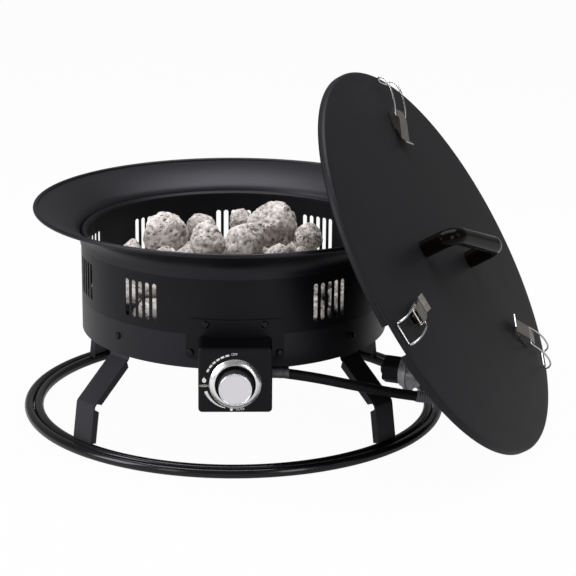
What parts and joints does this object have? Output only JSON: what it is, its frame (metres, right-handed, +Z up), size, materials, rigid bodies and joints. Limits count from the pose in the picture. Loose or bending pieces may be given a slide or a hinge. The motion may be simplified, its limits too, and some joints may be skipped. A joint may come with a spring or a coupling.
{
  "type": "portable propane fire pit",
  "caption": "Round portable gas fire pit with a vented drum, flared rim, lava rocks, control box with knob, hose with regulator, and a latched lid leaning on the rim.",
  "frame": {"origin": "centre of the base ring on the floor", "axes": "+Z up, control box towards -Y, lid leaning at +X"},
  "size_m": [0.7168, 0.6494, 0.4654],
  "materials": {
    "ring_paint": "gloss black powder coat",
    "frame_paint": "satin black powder coat",
    "screw_black": "black",
    "bowl_paint": "satin black high heat paint",
    "lid_paint": "satin black high heat paint",
    "handle_gloss": "gloss black",
    "lava": "porous lava rock",
    "burner_steel": "stainless",
    "brass": "plain",
    "ceramic": "glazed white",
    "black_rubber": "matte black",
    "black_plastic": "matte black",
    "bezel_chrome": "polished",
    "cap_aluminium": "brushed",
    "fitting_steel": "plated",
    "regulator_zinc": "die cast",
    "latch_steel": "bright",
    "bail_steel": "bright wire"
  },
  "bodies": {
    "fire_pit": {"base_ring_outer": "ring_paint", "base_ring_inner": "ring_paint", "leg_front_left": "frame_paint", "leg_front_right": "frame_paint", "leg_rear_left": "frame_paint", "leg_rear_right": "frame_paint", "leg_screws": "screw_black", "lower_skirt": "bowl_paint", "drum_shell": "bowl_paint", "flared_rim": "bowl_paint", "fire_pan": "bowl_paint", "lava_rocks": "lava", "burner_ring": "burner_steel", "burner_brackets": "burner_steel", "mixer_tube": "burner_steel", "gas_jet": "brass", "gas_supply_pipe": "brass", "spark_electrode": "burner_steel", "electrode_insulator": "ceramic", "ignition_lead": "black_rubber", "control_box_cover": "bowl_paint", "control_box_screws": "screw_black", "valve_body": "brass", "igniter_module": "black_plastic", "knob_bezel": "bezel_chrome", "hose_inlet_fitting": "fitting_steel", "gas_hose": "black_rubber", "hose_ferrules": "fitting_steel", "regulator_body": "regulator_zinc", "regulator_cover": "regulator_zinc", "regulator_inlet_nipple": "brass"},
    "knob_carrier": {"push_collar": "black_plastic"},
    "knob": {"valve_stem": "brass", "knob_body": "black_plastic", "knob_cap": "cap_aluminium"},
    "coupling_nut": {"coupling_nut": "black_plastic"},
    "lid": {"lid_plate": "lid_paint", "lid_handle": "handle_gloss", "handle_screws": "latch_steel", "latch_1_base": "latch_steel", "latch_2_base": "latch_steel", "latch_3_base": "latch_steel", "latch_pins": "latch_steel", "latch_rivets": "latch_steel"},
    "latch_1_lever": {"latch_1_lever": "latch_steel"},
    "latch_1_bail": {"latch_1_bail": "bail_steel"},
    "latch_2_lever": {"latch_2_lever": "latch_steel"},
    "latch_2_bail": {"latch_2_bail": "bail_steel"},
    "latch_3_lever": {"latch_3_lever": "latch_steel"},
    "latch_3_bail": {"latch_3_bail": "bail_steel"}
  },
  "joints": [
    {"name": "knob_push", "type": "slide", "parent": "fire_pit", "child": "knob_carrier", "axis": [0, 1, 0], "range_m": [0, 0.004]},
    {"name": "knob_turn", "type": "hinge", "parent": "knob_carrier", "child": "knob", "pos_m": [0, -0.253, 0.113], "axis": [0, -1, 0], "range_deg": [0, 180]},
    {"name": "coupling_nut_turn", "type": "hinge", "parent": "fire_pit", "child": "coupling_nut", "pos_m": [0.22085, 0.01872, 0.0417], "axis": [-0.9063, 0.4226, 0], "continuous": true},
    {"name": "lid_lift", "type": "slide", "parent": "fire_pit", "child": "lid", "axis": [0.8024, -0.3016, 0.515], "range_m": [0, 0.3]},
    {"name": "latch_1_lever_swing", "type": "hinge", "parent": "lid", "child": "latch_1_lever", "pos_m": [0.2132, -0.00066, 0.40572], "axis": [-0.5122, -0.7908, 0.3349], "range_deg": [0, 110]},
    {"name": "latch_1_bail_swing", "type": "hinge", "parent": "latch_1_lever", "child": "latch_1_bail", "pos_m": [0.2178, -0.00568, 0.40088], "axis": [-0.5122, -0.7908, 0.3349], "range_deg": [-126.5, 0]},
    {"name": "latch_2_lever_swing", "type": "hinge", "parent": "lid", "child": "latch_2_lever", "pos_m": [0.2165, -0.30974, 0.21959], "axis": [0.5214, -0.0658, -0.8508], "range_deg": [0, 110]},
    {"name": "latch_2_bail_swing", "type": "hinge", "parent": "latch_2_lever", "child": "latch_2_bail", "pos_m": [0.22097, -0.30305, 0.22181], "axis": [0.5214, -0.0658, -0.8508], "range_deg": [-126.5, 0]},
    {"name": "latch_3_lever_swing", "type": "hinge", "parent": "lid", "child": "latch_3_lever", "pos_m": [0.40133, -0.0244, 0.09874], "axis": [-0.0091, 0.8566, 0.5159], "range_deg": [0, 110]},
    {"name": "latch_3_bail_swing", "type": "hinge", "parent": "latch_3_lever", "child": "latch_3_bail", "pos_m": [0.39879, -0.02852, 0.10555], "axis": [-0.0091, 0.8566, 0.5159], "range_deg": [-126.5, 0]}
  ],
  "couplings": [
    {"joint": "latch_1_bail_swing", "follows": "latch_1_lever_swing", "ratio": -1.15},
    {"joint": "latch_2_bail_swing", "follows": "latch_2_lever_swing", "ratio": -1.15},
    {"joint": "latch_3_bail_swing", "follows": "latch_3_lever_swing", "ratio": -1.15}
  ]
}
